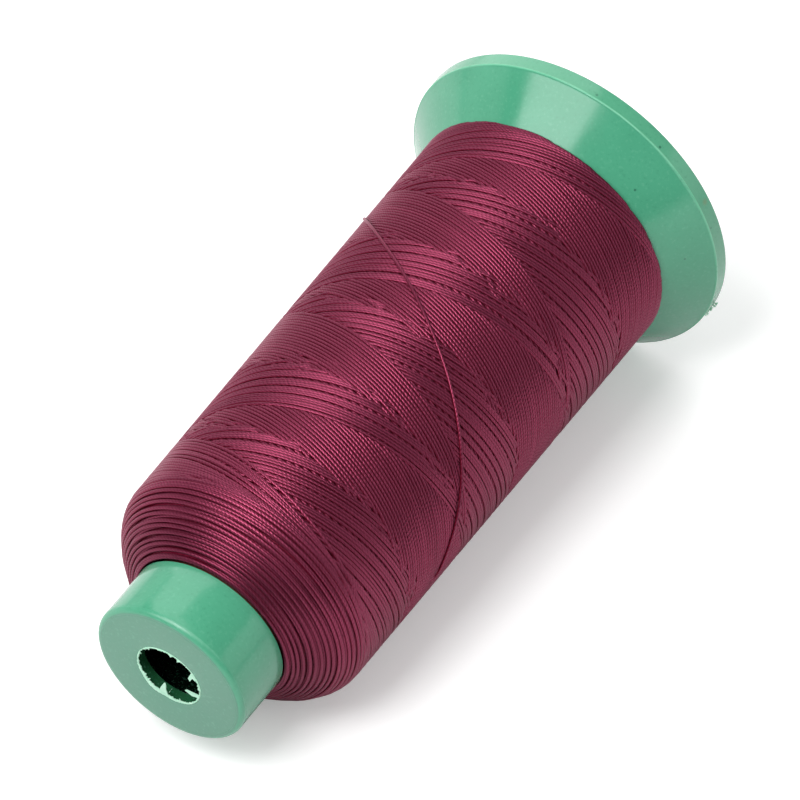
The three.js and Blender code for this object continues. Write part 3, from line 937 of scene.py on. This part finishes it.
# softboxes, all turned to the spool: azimuth and elevation in degrees, width and height in metres,
# and radiance
SOFTBOXES = {
    "softbox_top": (270, 58.5, 0.36, 0.45, 11.6),
    "softbox_top_left": (240, 58.5, 0.34, 0.45, 6.2),
    "softbox_overhead": (255, 86, 0.9, 0.9, 1.4),
    "softbox_front": (245, 37.5, 0.84, 0.45, 4.3),
    "softbox_back": (128, 33, 0.94, 1.55, 1.65),
    "softbox_left": (180, 13.5, 1.42, 0.58, 0.7),
    "softbox_right": (0, 38, 0.6, 0.5, 1.15),
    "softbox_front_right": (330, 59, 0.4, 0.45, 2.6),
    "softbox_far": (42, 13.8, 1.35, 0.6, 0.85),
}
SOFTBOX_DISTANCE = 1.2
SPOOL_MIDDLE = Vector((0, 0, 0.04))
ROOM_LIGHT = 0.04

# the camera, as fitted to the photograph
CAMERA_AT = (0.41128, -0.62758, 0.78941)
CAMERA_TURN = (44.9564, -0.0645, 33.0047)  # degrees about x, y and z
CAMERA_SENSOR, CAMERA_LENS = 36, 240.3
CAMERA_CLIP = (0.05, 20)


def floor():
    size = FLOOR_SIZE
    corners = [(-size, -size, 0), (size, -size, 0), (size, size, 0), (-size, size, 0)]
    obj = mesh_object("floor", corners, [[0, 1, 2, 3]])
    material = bpy.data.materials.new("pale_floor")
    material.use_nodes = True
    material.cycles.emission_sampling = "NONE"
    nodes, links = material.node_tree.nodes, material.node_tree.links
    nodes.clear()
    ray = nodes.new("ShaderNodeLightPath").outputs

    def diffuse(albedo):
        shader = nodes.new("ShaderNodeBsdfDiffuse")
        shader.inputs["Color"].default_value = (albedo, albedo, albedo, 1)
        return shader.outputs[0]

    def join(kind, *sources):
        node = nodes.new("ShaderNode" + kind)
        for socket, source in zip(node.inputs, sources):
            links.new(source, socket)
        return node.outputs[0]

    glow = nodes.new("ShaderNodeEmission")
    glow.inputs["Strength"].default_value = FLOOR_GLOW
    seen = join("AddShader", glow.outputs[0], diffuse(FLOOR_SEEN))
    look = diffuse(FLOOR_ALBEDO)
    look = join("MixShader", ray["Is Glossy Ray"], look, diffuse(FLOOR_IN_GLOSS))
    look = join("MixShader", ray["Is Transmission Ray"], look, diffuse(FLOOR_THROUGH))
    look = join("MixShader", ray["Is Camera Ray"], look, seen)
    links.new(look, nodes.new("ShaderNodeOutputMaterial").inputs["Surface"])
    obj.data.materials.append(material)


def softbox(name, azimuth, elevation, width, height, radiance):
    turn, rise = math.radians(azimuth), math.radians(elevation)
    aside = math.cos(rise)
    away = Vector((math.cos(turn) * aside, math.sin(turn) * aside, math.sin(rise)))
    light = bpy.data.lights.new(name, "AREA")
    light.shape = "RECTANGLE"
    light.size, light.size_y = width, height
    light.energy = radiance * math.pi * width * height
    obj = bpy.data.objects.new(name, light)
    bpy.context.scene.collection.objects.link(obj)
    obj.location = SPOOL_MIDDLE + away * SOFTBOX_DISTANCE
    obj.rotation_euler = away.to_track_quat("Z", "Y").to_euler()


def room():
    world = bpy.data.worlds.new("studio")
    bpy.context.scene.world = world
    world.use_nodes = True
    background = world.node_tree.nodes["Background"]
    background.inputs[0].default_value = (1, 1, 1, 1)
    background.inputs[1].default_value = ROOM_LIGHT


def camera():
    lens = bpy.data.cameras.new("camera")
    lens.sensor_width = CAMERA_SENSOR
    lens.lens = CAMERA_LENS
    lens.clip_start, lens.clip_end = CAMERA_CLIP
    obj = bpy.data.objects.new("camera", lens)
    bpy.context.scene.collection.objects.link(obj)
    obj.location = CAMERA_AT
    obj.rotation_euler = Euler([math.radians(angle) for angle in CAMERA_TURN])
    bpy.context.scene.camera = obj


floor()
for name, settings in SOFTBOXES.items():
    softbox(name, *settings)
room()
camera()
bpy.context.scene.view_settings.view_transform = "Standard"

bpy.context.view_layer.update()
